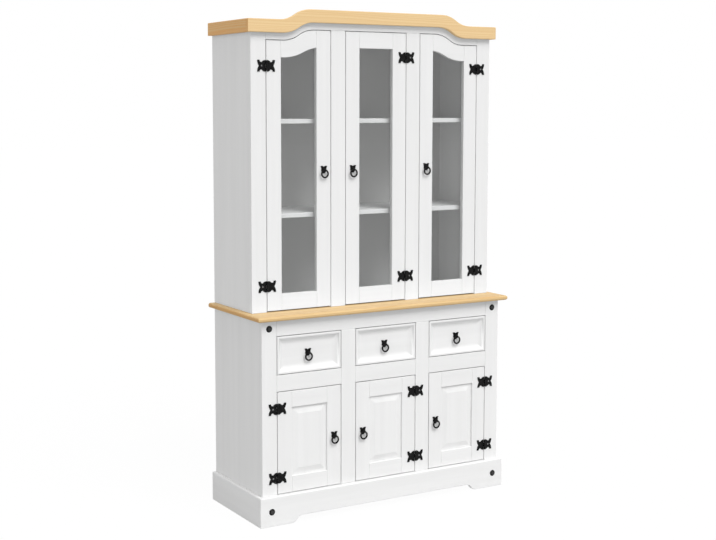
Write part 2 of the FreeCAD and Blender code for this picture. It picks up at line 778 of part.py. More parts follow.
def make_base_door(bay):
    name = f"base_door_{bay}"
    left = f"({bay_centre(bay)} - {bay_width} / 2 + door_gap)"
    right = f"({bay_centre(bay)} + {bay_width} / 2 - door_gap)"
    inner_left = f"({left} + door_stile_width)"
    inner_right = f"({right} - door_stile_width)"
    inner_low = f"({base_door_bottom} + door_rail_height)"
    inner_high = f"({base_door_top} - door_rail_height)"
    thick = (base_face, f"({base_face} + door_board)")
    tall = (base_door_bottom, base_door_top)
    across = (inner_left, inner_right)
    boards = {
        "stile_left": box(f"{name}_stile_left_board", (left, inner_left), thick, tall),
        "stile_right": box(f"{name}_stile_right_board", (inner_right, right), thick, tall),
        "rail_lower": box(f"{name}_rail_lower_board", across, thick, (base_door_bottom, inner_low)),
        "rail_upper": box(f"{name}_rail_upper_board", across, thick, (inner_high, base_door_top)),
    }
    tongue_front = f"({base_face} + {groove_setback})"
    tongue_back = f"({tongue_front} + panel_tongue)"
    groove = box(
        f"{name}_groove",
        (f"({inner_left} - panel_groove_depth)", f"({inner_right} + panel_groove_depth)"),
        (f"({tongue_front} - panel_clearance)", f"({tongue_back} + panel_clearance)"),
        (f"({inner_low} - panel_groove_depth)", f"({inner_high} + panel_groove_depth)"),
    )
    frame = [cut(f"{name}_{piece}", board, groove) for piece, board in boards.items()]
    tongue = "(panel_groove_depth - panel_clearance)"
    plate = box(
        f"{name}_panel_plate",
        (f"({inner_left} - {tongue})", f"({inner_right} + {tongue})"),
        (tongue_front, tongue_back),
        (f"({inner_low} - {tongue})", f"({inner_high} + {tongue})"),
    )
    half_wide = f"({bay_width} / 2 - door_gap - door_stile_width - panel_margin)"
    half_tall = f"(({inner_high} - {inner_low}) / 2 - panel_margin)"
    bevel = "panel_bevel_width"
    field = frustum(f"{name}_field", half_wide, half_tall, bevel, "panel_field_rise", widest_at_front=False)
    place(field, bay_centre(bay), f"{tongue_front} - panel_field_rise", f"({inner_low} + {inner_high}) / 2")
    panel = fuse(f"{name}_panel", plate, field)
    pull_level = f"(({base_door_bottom} + {base_door_top}) / 2 - door_pull_drop)"
    iron = hang_door(name, bay, base_face, base_door_bottom, base_door_top, "base_hinge_inset", pull_level)
    return [group(f"{name}_frame", frame), panel] + iron


# Hutch doors: a pane held in a rebate by beads, with an arched head on the outer doors

pane_edge = "(glazing_rebate - glass_clearance)"
door_head_line = "(-door_gap)"
pane_head_line = "(-(door_gap + door_rail_height))"
rebate_head_line = f"({pane_head_line} + glazing_rebate)"
hutch_door_back = f"({hutch_face} + door_board)"
glass_front = f"({hutch_face} + {glass_setback})"
glass_back = f"({glass_front} + glass_thickness)"


def arch_tool(name, lower, upper, front, back):
    """A full-width arched board, to be trimmed to one door."""
    tool = board_between(name, lower, upper, f"{back} - {front}")
    place(tool, "0", back, "0")
    return tool


def make_arch_tools():
    half = bays_half
    below_pane = pane_head_edge(half, f"{pane_head_line} - glazing_rebate")
    rebate_head = pane_head_edge(half, rebate_head_line)
    pane_head = pane_head_edge(half, pane_head_line)
    loose_head = pane_head_edge(half, f"{rebate_head_line} - glass_clearance")
    door_head = arch_edge(half, door_head_line)
    pane_foot = straight_edge(half, worktop_top)
    return {
        "rail": arch_tool("arch_rail", pane_head, door_head, hutch_face, hutch_door_back),
        "rebate": arch_tool("arch_rebate", below_pane, rebate_head, glass_front, hutch_door_back),
        "pane": arch_tool("arch_pane", pane_foot, loose_head, glass_front, glass_back),
        "bead": arch_tool("arch_bead", pane_head, loose_head, glass_back, hutch_door_back),
    }


arch_tools = make_arch_tools()


def make_hutch_door(bay):
    name = f"hutch_door_{bay}"
    step = BAY_STEPS[bay]
    left = f"({bay_centre(bay)} - {bay_width} / 2 + door_gap)"
    right = f"({bay_centre(bay)} + {bay_width} / 2 - door_gap)"
    inner_left = f"({left} + door_stile_width)"
    inner_right = f"({right} - door_stile_width)"
    inner_low = f"({hutch_door_bottom} + door_rail_height)"
    rebate_low = f"({inner_low} - glazing_rebate)"
    pane_low = f"({rebate_low} + glass_clearance)"
    crown = f"({arch_line} + arch_rise)"
    heads = {"left": crown if step >= 0 else arch_line, "right": crown if step <= 0 else arch_line}
    thick = (hutch_face, hutch_door_back)
    rebate_thick = (glass_front, hutch_door_back)
    bead_thick = (glass_back, hutch_door_back)
    across = (inner_left, inner_right)
    frame = []

    stiles = {
        "left": ((left, inner_left), (f"({inner_left} - glazing_rebate)", inner_left)),
        "right": ((inner_right, right), (inner_right, f"({inner_right} + glazing_rebate)")),
    }
    for side, (wide, rebate_wide) in stiles.items():
        door_top = f"({heads[side]} + {door_head_line})"
        rebate_top = f"({heads[side]} + {rebate_head_line})"
        board = box(f"{name}_stile_{side}_board", wide, thick, (hutch_door_bottom, door_top))
        rebate = box(f"{name}_stile_{side}_rebate", rebate_wide, rebate_thick, (rebate_low, rebate_top))
        frame.append(cut(f"{name}_stile_{side}", board, rebate))
        bead_tall = (pane_low, f"({rebate_top} - glass_clearance)")
        frame.append(box(f"{name}_bead_{side}", rebate_wide, bead_thick, bead_tall))

    board = box(f"{name}_rail_lower_board", across, thick, (hutch_door_bottom, inner_low))
    rebate = box(f"{name}_rail_lower_rebate", across, rebate_thick, (rebate_low, inner_low))
    frame.append(cut(f"{name}_rail_lower", board, rebate))
    frame.append(box(f"{name}_bead_lower", across, bead_thick, (pane_low, inner_low)))

    pane_wide = (f"({inner_left} - {pane_edge})", f"({inner_right} + {pane_edge})")
    if step == 0:
        inner_high = f"({crown} + {pane_head_line})"
        door_top = f"({crown} + {door_head_line})"
        rebate_high = f"({crown} + {rebate_head_line})"
        loose_high = f"({rebate_high} - glass_clearance)"
        board = box(f"{name}_rail_upper_board", across, thick, (inner_high, door_top))
        rebate = box(f"{name}_rail_upper_rebate", across, rebate_thick, (inner_high, rebate_high))
        frame.append(cut(f"{name}_rail_upper", board, rebate))
        frame.append(box(f"{name}_bead_upper", across, bead_thick, (inner_high, loose_high)))
        pane = box(f"{name}_glass", pane_wide, (glass_front, glass_back), (pane_low, loose_high))
    else:
        trim_tall = (pane_low, f"({crown} + arch_rise)")
        rail_trim = box(f"{name}_rail_trim", across, thick, trim_tall)
        pane_trim = box(f"{name}_pane_trim", pane_wide, thick, trim_tall)
        board = common(f"{name}_rail_upper_board", arch_tools["rail"], rail_trim)
        frame.append(cut(f"{name}_rail_upper", board, arch_tools["rebate"]))
        frame.append(common(f"{name}_bead_upper", arch_tools["bead"], rail_trim))
        pane = common(f"{name}_glass", arch_tools["pane"], pane_trim)

    hinge_head = heads["left" if HINGE_SIDES[bay] < 0 else "right"]
    hinge_top = f"({hinge_head} + {door_head_line})"
    pull_level = f"(({hutch_door_bottom} + {crown} - door_gap) / 2 - door_pull_drop)"
    iron = hang_door(name, bay, hutch_face, hutch_door_bottom, hinge_top, "hutch_hinge_inset", pull_level)
    return [group(f"{name}_frame", frame), pane] + iron


# Drawers


def make_drawer(bay):
    name = f"drawer_{bay}"
    middle = bay_centre(bay)
    half = f"({bay_width} / 2 - door_gap)"
    low = f"({drawer_floor} + door_gap)"
    high = f"({drawer_head} - door_gap)"
    front_back = f"({base_face} + drawer_front_board)"
    wide = (f"({middle} - {half})", f"({middle} + {half})")
    board = box(f"{name}_board", wide, (base_face, front_back), (low, high))
    half_wide = f"({half} - drawer_lip)"
    half_tall = f"(({high} - {low}) / 2 - drawer_lip)"
    reached = base_face
    cove = []
    for step in COVE_STEPS:
        width, depth = f"cove_{step}_width", f"cove_{step}_depth"
        slope = frustum(f"{name}_cove_{step}", half_wide, half_tall, width, depth, widest_at_front=True)
        place(slope, middle, reached, f"({low} + {high}) / 2")
        cove.append(slope)
        half_wide, half_tall = f"({half_wide} - {width})", f"({half_tall} - {width})"
        reached = f"({reached} + {depth})"
    front = cut(f"{name}_front", board, fuse(f"{name}_recess", *cove))

    outer_half = f"({bay_width} / 2 - drawer_side_clearance)"
    inner_half_width = f"({outer_half} - drawer_side_board)"
    side_low = f"({drawer_floor} + runner_clearance)"
    tall = (side_low, f"({side_low} + drawer_side_height)")
    box_back = f"({back_inner} - drawer_back_clearance)"
    along = (front_back, box_back)
    bottom_low = f"({side_low} + drawer_bottom_rise)"
    bottom_high = f"({bottom_low} + drawer_bottom_board)"
    bottom_back = f"({box_back} - drawer_side_board)"
    groove_half = f"({inner_half_width} + drawer_groove_depth)"
    groove = box(
        f"{name}_groove",
        (f"({middle} - {groove_half})", f"({middle} + {groove_half})"),
        along,
        (f"({bottom_low} - drawer_groove_clearance)", f"({bottom_high} + drawer_groove_clearance)"),
    )
    sides = {
        "left": (f"({middle} - {outer_half})", f"({middle} - {inner_half_width})"),
        "right": (f"({middle} + {inner_half_width})", f"({middle} + {outer_half})"),
    }
    boards = []
    for side, thick in sides.items():
        board = box(f"{name}_side_{side}_board", thick, along, tall)
        boards.append(cut(f"{name}_side_{side}", board, groove))
    inside = (f"({middle} - {inner_half_width})", f"({middle} + {inner_half_width})")
    boards.append(box(f"{name}_back", inside, (bottom_back, box_back), tall))
    reach = f"({groove_half} - drawer_groove_clearance)"
    bottom_wide = (f"({middle} - {reach})", f"({middle} + {reach})")
    boards.append(box(f"{name}_bottom", bottom_wide, (front_back, bottom_back), (bottom_low, bottom_high)))

    pull_y = f"({base_face} + {drawer_recess} - pull_eye_standoff)"
    pull_z = f"(({low} + {high}) / 2 - drawer_pull_drop)"
    pull = copy_of(f"{name}_pull", pull_master, middle, pull_y, pull_z)
    ring = copy_of(f"{name}_ring", ring_master, middle, pull_y, pull_z)
    return [front, group(f"{name}_box", boards), pull, ring]


def check(pieces):
    """Stops the build if anything in the document failed or a piece isn't a sound solid."""
    for item in doc.Objects:
        if "Invalid" in item.State or "Error" in item.State:
            raise RuntimeError(f"{item.Name} failed: {item.State}")
    for piece in pieces:
        if piece.Shape.isNull() or not piece.Shape.isValid() or not piece.Shape.Solids:
            raise RuntimeError(f"{piece.Label} is not a sound solid")


pieces = make_plinth() + make_base_case() + make_base_frame() + make_runners() + make_shelves()
pieces += make_worktop() + make_nail_heads() + make_hutch_case() + make_hutch_frame() + make_cornice()
for bay in BAYS:
    pieces += make_base_door(bay) + make_hutch_door(bay) + make_drawer(bay)
pieces.append(group("frame_hinge_leaves", frame_leaves))
pieces.append(group("door_catches", catches))

doc.recompute()
check(pieces)
os.makedirs("parts", exist_ok=True)
for piece in pieces:
    piece.Shape.exportStep(f"parts/{piece.Label}.step")
print(len(pieces), "sub-parts,", sum(len(piece.Shape.Solids) for piece in pieces), "solids")
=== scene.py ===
"""A white painted highboard with pine trim and black irons, dressed and lit for the studio.

Every board gets eased edges and a grain that runs along it, the pine its rings and knots, the irons their
hammered faces and screws. Lengths are metres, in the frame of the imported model.
"""

import json
import math
import random

import bmesh
import bpy
from mathutils import Matrix, Vector


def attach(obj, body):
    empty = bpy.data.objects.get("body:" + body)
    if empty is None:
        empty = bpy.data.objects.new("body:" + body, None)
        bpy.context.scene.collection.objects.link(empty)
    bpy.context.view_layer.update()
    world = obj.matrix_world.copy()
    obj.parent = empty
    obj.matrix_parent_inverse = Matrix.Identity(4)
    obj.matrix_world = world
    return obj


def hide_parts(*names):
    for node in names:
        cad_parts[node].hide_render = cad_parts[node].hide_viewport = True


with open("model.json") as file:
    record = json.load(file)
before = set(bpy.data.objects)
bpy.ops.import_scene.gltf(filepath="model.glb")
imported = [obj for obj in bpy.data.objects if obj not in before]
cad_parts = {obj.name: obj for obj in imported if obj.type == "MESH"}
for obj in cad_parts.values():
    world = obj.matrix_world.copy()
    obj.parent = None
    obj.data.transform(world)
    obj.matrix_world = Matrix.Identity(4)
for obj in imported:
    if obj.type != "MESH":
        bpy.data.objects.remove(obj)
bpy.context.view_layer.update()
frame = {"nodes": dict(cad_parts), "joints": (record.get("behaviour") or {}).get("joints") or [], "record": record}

MM = 0.001
QUARTER_TURN = math.radians(90)
WHITE = (1.0, 1.0, 1.0, 1.0)

# How finely a copied board is merged and how its edges are eased
WELD = 0.001 * MM
FLAT_ANGLE = math.radians(0.5)
SHARP_ANGLE = math.radians(20)
CREASE_ANGLE = math.radians(2)
COVE_ANGLE = math.radians(30)
DOME_ANGLE = math.radians(45)
EASE_STEPS = 3
ROUND_PROFILE = 0.5

# How far the edges of each slot's nodes are eased
EASED_SLOTS = {
    "white_paint": 1.9 * MM,
    "waxed_pine": 2.4 * MM,
    "bare_pine": 0.6 * MM,
    "back_panel": 0.6 * MM,
    "catch_plastic": 0.6 * MM,
    "black_iron": 0.35 * MM,
}
# Endings of the nodes that are round or clear and are not eased
KEPT_AS_THEY_ARE = ("_ring", "_glass", "shelf_pins")

# Hinge leaves and their screws
LEAF_THICKNESS = 2.0 * MM
LEAF_HEIGHT_RANGE = (35 * MM, 50 * MM)
LEAF_LEAST_WIDTH = 25 * MM
LEAF_TAIL_REACH = 18.5 * MM
LEAF_OVAL_REACH = 10.5 * MM
LEAF_OVAL_SPREAD = 10.0 * MM
SCREW_RADIUS = 3.2 * MM
SCREW_HEIGHT = 1.3 * MM
SCREW_SIDES = 20
SCREW_TIERS = 10
SCREW_SLOT_HALF = 0.45 * MM
SCREW_SLOT_DEPTH = 0.7 * MM
# Where a screw's head is cut along its slot and how far the slot's floor reaches, in halves of its width
SCREW_SLOT_CUTS = (-1.6, -1.0, 1.0, 1.6)
SCREW_FLOOR_REACH = 1.05

# A share from none to all, the same the other way round, and the range that most of a noise keeps to
RISING = (0.0, 1.0)
FALLING = (1.0, 0.0)
NOISE_RANGE = (0.3, 0.7)

# Grain of every board: each layer's repeats per metre along it and its share of the fineness across it
GRAIN_LAYERS = {"Fibre": (5.0, 1.0), "Band": (1.2, 0.07)}
GRAIN_SEED_STEP = 41.0
PAINT_FINENESS = 420.0
PINE_FINENESS = 700.0

# The pine's figure: staves, rings round a pith that sways, and a few knots that push the rings aside
STAVE_WIDTH = 88 * MM
STAVE_SEED_STEP = 7.31
BOARD_SEED_STEP = 53.7
PINE_RING_WIDTH = 4.2 * MM
RING_RISE = (0.15, 0.85)
RING_FALL = (0.88, 1.0)
SWAY_REPEATS = (0.9, 3.0, 1.0)
SWAY_REACH = 50 * MM
PITH_SPREAD = 90 * MM
PITH_LEAST_DEPTH = 25 * MM
PITH_DEPTH_SPREAD = 60 * MM
KNOT_CELLS = (9.0, 9.0, 9.0)
KNOT_RARITY = 0.9
KNOT_CORE = (0.02, 0.07)
KNOT_SURROUND = (0.0, 0.4)
KNOT_PUSH = (12 * MM, 0.0)

# How fibres, streaks, warm streaks and end grain mix into the pine: from these values, by these shares
FIBRE_SHARE = ((0.45, 0.75), (0.0, 0.35))
STREAK_SHARE = ((0.42, 0.68), (0.0, 0.4))
WARM_SHARE = ((0.56, 0.74), (0.0, 0.35))
END_GRAIN_SHARE = ((0.5, 0.95), (0.0, 0.8))
STAVE_TONE_SHARE = 0.3
STAVE_SHADE = 0.93
RING_RELIEF = 0.5
RELIEF_DEPTH = 0.3 * MM
# How much heartwood the boards of a node show, where it isn't the usual little
HEARTWOOD = {"cornice_sides": 0.85}
USUAL_HEARTWOOD = 0.08
HEARTWOOD_SPREAD = (0.7, 1.3)
# The colour of the light that the pine throws on the paint beside it
PINE_BOUNCE = (0.7, 0.7, 0.7)

# Shades of the paint, of the two faces of a back panel and of the glass
PAINT_SHADES = ((0.835, 0.835, 0.832), (0.872, 0.872, 0.87))
PAINT_BANDS = (0.25, 0.75)
RAW_SHADES = ((0.30, 0.19, 0.105), (0.44, 0.30, 0.18))
# The inner face is a greyer white than the boards: white paint, partly painted shade that darkens the inside of
# the cabinet
INSIDE_WHITE_AND_PAINTED_SHADE = ((0.66, 0.66, 0.655), (0.70, 0.70, 0.695))
GLASS_TINTS = ((0.94, 0.945, 0.945), (0.965, 0.97, 0.97))
GLASS_WAVE_DEPTH = 0.4 * MM
# The least part of a normal along +Y on a face that looks at the wall
WALL_FACING = 0.5

# Ranges of roughness, and how far below and above its own roughness a pine or a plain finish goes
PAINT_ROUGHNESS = (0.42, 0.54)
PANEL_ROUGHNESS = (0.5, 0.68)
IRON_ROUGHNESS = (0.36, 0.55)
PINE_WEAR = (-0.05, 0.07)
PLAIN_WEAR = (-0.06, 0.06)

# The iron's rubbed patches, and the painted highlight on a nail head: its crown coloured paler
RUB_RANGE = (0.35, 0.75)
RUB_SCALE = 90.0
DENT_DEPTH = 0.5 * MM
CROWN_DEPTH = 0.3 * MM
PAINTED_CROWN_HIGHLIGHT = (0.05, 0.05, 0.05)

# The photograph's frame and view
PHOTO_WIDTH = 716
PHOTO_HEIGHT = 540
FOCAL_PIXELS = 1288.39
AXIS_U = 337.56
AXIS_V = 231.9
SENSOR_WIDTH = 36.0
CAMERA_PLACE = (-2.62013, -4.29291, 1.53909)
CAMERA_TURN = math.radians(-30.351)
CAMERA_DIP = math.radians(5.6)

# The studio
FLOOR_HALF = 40.0
FLOOR_WHITENESS = 0.95
FLOOR_GLOW = 1.026
FLOOR_BOUNCE = (0.5, 0.5, 0.5, 1.0)
AMBIENT_STRENGTH = 0.55
# Each lamp's strength, softness and the way its light travels
LAMPS = {
    "key lamp": (2.08, math.radians(38), (-0.12, 0.635, -0.763)),
    "side lamp": (0.33, math.radians(60), (0.93, 0.25, -0.25)),
}


# Shader helpers

VECTOR = "NodeSocketVector"
NUMBER = "NodeSocketFloat"
# Places of the share and the two colours among a Mix node's inputs, and of the colour among its outputs
MIX_SHARE = 0
MIX_COLOURS = (6, 7)
MIX_RESULT = 2


def set_input(tree, socket, value):
    """Links a socket to another one, or sets its value."""
    if isinstance(value, bpy.types.NodeSocket):
        tree.links.new(value, socket)
    else:
        socket.default_value = value


def add_node(tree, kind, inputs=None, **settings):
    """A node with its settings made and each named input set to a value or linked to a socket."""
    node = tree.nodes.new(kind)
    for name, value in settings.items():
        setattr(node, name, value)
    for name, value in (inputs or {}).items():
        set_input(tree, node.inputs[name], value)
    return node


def compute(tree, operation, *values):
    """The result of a Math node on values or sockets."""
    node = add_node(tree, "ShaderNodeMath", dict(enumerate(values)), operation=operation)
    return node.outputs["Value"]


def combine(tree, operation, *values, output="Vector"):
    """The result of a Vector Math node on vectors or sockets."""
    node = add_node(tree, "ShaderNodeVectorMath", dict(enumerate(values)), operation=operation)
    return node.outputs[output]


def gather(tree, x, y, z):
    """A vector made of three values or sockets."""
    return add_node(tree, "ShaderNodeCombineXYZ", {"X": x, "Y": y, "Z": z}).outputs["Vector"]


def remap(tree, value, source, target):
    """A value carried smoothly from one range to another and held at its ends."""
    inputs = {
        "Value": value,
        "From Min": source[0],
        "From Max": source[1],
        "To Min": target[0],
        "To Max": target[1],
    }
    return add_node(tree, "ShaderNodeMapRange", inputs, interpolation_type="SMOOTHSTEP").outputs["Result"]


def blend_colours(tree, share, *colours):
    """A colour between two others."""
    node = add_node(tree, "ShaderNodeMix", {MIX_SHARE: share}, data_type="RGBA")
    for place, colour in zip(MIX_COLOURS, colours):
        is_plain = isinstance(colour, tuple)
        set_input(tree, node.inputs[place], (*colour, 1.0) if is_plain else colour)
    return node.outputs[MIX_RESULT]


def noise(tree, place, scale, detail, roughness=0.5):
    """A soft noise on a place."""
    inputs = {"Vector": place, "Scale": scale, "Detail": detail, "Roughness": roughness}
    return add_node(tree, "ShaderNodeTexNoise", inputs).outputs["Fac"]


def object_place(tree):
    """Where a point lies in the part's frame."""
    return add_node(tree, "ShaderNodeTexCoord").outputs["Object"]


def attribute(tree, name, output):
    """One of a piece's own point attributes."""
    return add_node(tree, "ShaderNodeAttribute", attribute_name=name).outputs[output]


def new_group(name, inputs, outputs):
    """An empty shader group with named inputs and number outputs, and its two end nodes."""
    tree = bpy.data.node_groups.new(name, "ShaderNodeTree")
    for socket, kind in inputs.items():
        tree.interface.new_socket(socket, in_out="INPUT", socket_type=kind)
    for socket in outputs:
        tree.interface.new_socket(socket, in_out="OUTPUT", socket_type=NUMBER)
    return tree, tree.nodes.new("NodeGroupInput"), tree.nodes.new("NodeGroupOutput")


def place_group(tree, group, **inputs):
    """The group as a node, with its inputs set or linked."""
    named = {name.replace("_", " "): value for name, value in inputs.items()}
    return add_node(tree, "ShaderNodeGroup", named, node_tree=group)


def new_material(name, **constants):
    """A material with its Principled shader, whose plain values are set on its own sockets."""
    material = bpy.data.materials.new(name)
    material.use_nodes = True
    shader = material.node_tree.nodes["Principled BSDF"]
    for socket, value in constants.items():
        shader.inputs[socket.replace("_", " ")].default_value = value
    return material, material.node_tree, shader


def bump(tree, shader, height, strength, distance=RELIEF_DEPTH):
    """Relief on a shader's normal."""
    node = add_node(tree, "ShaderNodeBump", {"Height": height, "Strength": strength, "Distance": distance})
    tree.links.new(node.outputs["Normal"], shader.inputs["Normal"])


def mix_surface(tree, share, first, second):
    """A blend of two shaders."""
    return add_node(tree, "ShaderNodeMixShader", {0: share, 1: first, 2: second}).outputs["Shader"]


# Effects that several finishes share

def make_board_grain():
    """Fine fibres and broad bands that run along a board."""
    inputs = {"Place": VECTOR, "Board": NUMBER, "Fineness": NUMBER}
    tree, start, end = new_group("board grain", inputs, GRAIN_LAYERS)
    shift = compute(tree, "MULTIPLY", start.outputs["Board"], GRAIN_SEED_STEP)
    for output, (along, spread) in GRAIN_LAYERS.items():
        across = compute(tree, "MULTIPLY", start.outputs["Fineness"], spread)
        stretched = combine(tree, "MULTIPLY", start.outputs["Place"], gather(tree, along, across, across))
        inputs = {"Vector": stretched, "W": shift, "Scale": 1.0, "Detail": 4.0, "Roughness": 0.6}
        layer = add_node(tree, "ShaderNodeTexNoise", inputs, noise_dimensions="4D")
        tree.links.new(layer.outputs["Fac"], end.inputs[output])
    return tree


def make_pine_figure():
    """Growth rings cut lengthwise, stave by stave, and a few knots that push them aside."""
    inputs = {"Place": VECTOR, "Board": NUMBER, "Ring Width": NUMBER}
    tree, start, end = new_group("pine figure", inputs, ("Rings", "Knots", "Stave Tone"))
    place = add_node(tree, "ShaderNodeSeparateXYZ", {"Vector": start.outputs["Place"]})
    along, across, through = (place.outputs[axis] for axis in "XYZ")
    stave = compute(tree, "ROUND", compute(tree, "DIVIDE", across, STAVE_WIDTH))
    board_seed = compute(tree, "MULTIPLY", start.outputs["Board"], BOARD_SEED_STEP)
    seed = compute(tree, "MULTIPLY_ADD", stave, STAVE_SEED_STEP, board_seed)
    chance = add_node(tree, "ShaderNodeTexWhiteNoise", {"W": seed}, noise_dimensions="1D")
    draws = add_node(tree, "ShaderNodeSeparateColor", {"Color": chance.outputs["Color"]})
    shift = gather(tree, seed, 0.0, seed)
    spot = gather(tree, along, across, 0.0)

    knot_place = combine(tree, "ADD", combine(tree, "MULTIPLY", spot, KNOT_CELLS), shift)
    cells = add_node(tree, "ShaderNodeTexVoronoi", {"Vector": knot_place, "Scale": 1.0})
    cell_draws = add_node(tree, "ShaderNodeSeparateColor", {"Color": cells.outputs["Color"]})
    chosen = compute(tree, "GREATER_THAN", cell_draws.outputs["Red"], KNOT_RARITY)
    core = remap(tree, cells.outputs["Distance"], KNOT_CORE, FALLING)
    push = compute(tree, "MULTIPLY", remap(tree, cells.outputs["Distance"], KNOT_SURROUND, KNOT_PUSH), chosen)

    sway_place = combine(tree, "ADD", combine(tree, "MULTIPLY", spot, SWAY_REPEATS), shift)
    sway_draw = noise(tree, sway_place, scale=1.0, detail=2.0)
    sway = compute(tree, "MULTIPLY_ADD", sway_draw, SWAY_REACH, -SWAY_REACH / 2)
    pith = compute(tree, "MULTIPLY_ADD", draws.outputs["Red"], PITH_SPREAD, -PITH_SPREAD / 2)
    in_stave = compute(tree, "MULTIPLY_ADD", stave, -STAVE_WIDTH, across)
    from_pith = compute(tree, "ADD", in_stave, compute(tree, "ADD", pith, sway))
    pith_depth = compute(tree, "MULTIPLY_ADD", draws.outputs["Green"], PITH_DEPTH_SPREAD, PITH_LEAST_DEPTH)
    depth = compute(tree, "ADD", through, pith_depth)
    depth_square = compute(tree, "MULTIPLY", depth, depth)
    square = compute(tree, "MULTIPLY_ADD", from_pith, from_pith, depth_square)
    radius = compute(tree, "ADD", compute(tree, "SQRT", square), push)
    ring = compute(tree, "FRACT", compute(tree, "DIVIDE", radius, start.outputs["Ring Width"]))
    rise = remap(tree, ring, RING_RISE, RISING)
    fall = remap(tree, ring, RING_FALL, FALLING)

    tree.links.new(compute(tree, "MULTIPLY", rise, fall), end.inputs["Rings"])
    tree.links.new(compute(tree, "MULTIPLY", core, chosen), end.inputs["Knots"])
    tree.links.new(draws.outputs["Blue"], end.inputs["Stave Tone"])
    return tree


def make_hammered_face():
    """Shallow hammer dents and patches of rubbed finish."""
    tree, start, end = new_group("hammered face", {"Place": VECTOR, "Dents": NUMBER}, ("Height", "Rub"))
    inputs = {"Vector": start.outputs["Place"], "Scale": start.outputs["Dents"], "Smoothness": 0.6}
    dents = add_node(tree, "ShaderNodeTexVoronoi", inputs, feature="SMOOTH_F1")
    tree.links.new(dents.outputs["Distance"], end.inputs["Height"])
    rub = noise(tree, start.outputs["Place"], RUB_SCALE, detail=5.0, roughness=0.65)
    tree.links.new(remap(tree, rub, RUB_RANGE, RISING), end.inputs["Rub"])
    return tree


BOARD_GRAIN = make_board_grain()
PINE_FIGURE = make_pine_figure()
HAMMERED_FACE = make_hammered_face()


# Finishes

def make_white_paint():
    """Brushed white paint with the board's grain faintly under it."""
    material, tree, shader = new_material("white paint", Specular_IOR_Level=0.35)
    place = attribute(tree, "grain", "Vector")
    board = attribute(tree, "board", "Fac")
    grain = place_group(tree, BOARD_GRAIN, Place=place, Board=board, Fineness=PAINT_FINENESS)
    shade = remap(tree, grain.outputs["Band"], PAINT_BANDS, RISING)
    tree.links.new(blend_colours(tree, shade, *PAINT_SHADES), shader.inputs["Base Color"])
    brushed = remap(tree, grain.outputs["Fibre"], NOISE_RANGE, PAINT_ROUGHNESS)
    tree.links.new(brushed, shader.inputs["Roughness"])
    bump(tree, shader, grain.outputs["Fibre"], strength=0.12)
    return material


def make_pine(name, early, late, knot, heart, roughness):
    """Pine in its ring colours, with fibres, knots, dark end grain and staves of slightly different tone."""
    material, tree, shader = new_material(name, Specular_IOR_Level=0.12)
    place = attribute(tree, "grain", "Vector")
    board = attribute(tree, "board", "Fac")
    grain = place_group(tree, BOARD_GRAIN, Place=place, Board=board, Fineness=PINE_FINENESS)
    figure = place_group(tree, PINE_FIGURE, Place=place, Board=board, Ring_Width=PINE_RING_WIDTH)
    rings = figure.outputs["Rings"]
    colour = blend_colours(tree, rings, early, late)
    streaks = (("Fibre", FIBRE_SHARE, late), ("Band", STREAK_SHARE, late), ("Band", WARM_SHARE, heart))
    for layer, share, tint in streaks:
        colour = blend_colours(tree, remap(tree, grain.outputs[layer], *share), colour, tint)
    tone = compute(tree, "MULTIPLY", figure.outputs["Stave Tone"], STAVE_TONE_SHARE)
    colour = blend_colours(tree, tone, colour, tuple(STAVE_SHADE * part for part in early))
    facing = add_node(tree, "ShaderNodeTexCoord").outputs["Normal"]
    along = combine(tree, "DOT_PRODUCT", facing, attribute(tree, "along", "Vector"), output="Value")
    end_grain = remap(tree, compute(tree, "ABSOLUTE", along), *END_GRAIN_SHARE)
    dark_share = compute(tree, "MAXIMUM", end_grain, attribute(tree, "heartwood", "Fac"))
    colour = blend_colours(tree, dark_share, colour, blend_colours(tree, rings, heart, late))
    colour = blend_colours(tree, figure.outputs["Knots"], colour, knot)
    bounce = add_node(tree, "ShaderNodeLightPath").outputs["Is Diffuse Ray"]
    tree.links.new(blend_colours(tree, bounce, colour, PINE_BOUNCE), shader.inputs["Base Color"])
    worn = remap(tree, grain.outputs["Band"], NOISE_RANGE, [roughness + step for step in PINE_WEAR])
    tree.links.new(worn, shader.inputs["Roughness"])
    relief = compute(tree, "MULTIPLY_ADD", rings, RING_RELIEF, grain.outputs["Fibre"])
    bump(tree, shader, relief, strength=0.15)
    return material


def make_back_panel():
    """Thin fibreboard: painted a greyer white on the inside, partly painted shade, raw and brown towards the wall.
    """
    material, tree, shader = new_material("back panel", Specular_IOR_Level=0.3)
    fibres = noise(tree, object_place(tree), scale=260.0, detail=6.0, roughness=0.7)
    facing = add_node(tree, "ShaderNodeNewGeometry").outputs["Normal"]
    backward = add_node(tree, "ShaderNodeSeparateXYZ", {"Vector": facing}).outputs["Y"]
    wallward = compute(tree, "GREATER_THAN", backward, WALL_FACING)
    shade = remap(tree, fibres, NOISE_RANGE, RISING)
    raw = blend_colours(tree, shade, *RAW_SHADES)
    # The inside is a greyer white than the boards: partly painted shade
    inside_with_painted_shade = blend_colours(tree, shade, *INSIDE_WHITE_AND_PAINTED_SHADE)
    tree.links.new(blend_colours(tree, wallward, inside_with_painted_shade, raw), shader.inputs["Base Color"])
    tree.links.new(remap(tree, fibres, NOISE_RANGE, PANEL_ROUGHNESS), shader.inputs["Roughness"])
    bump(tree, shader, fibres, strength=0.1)
    return material


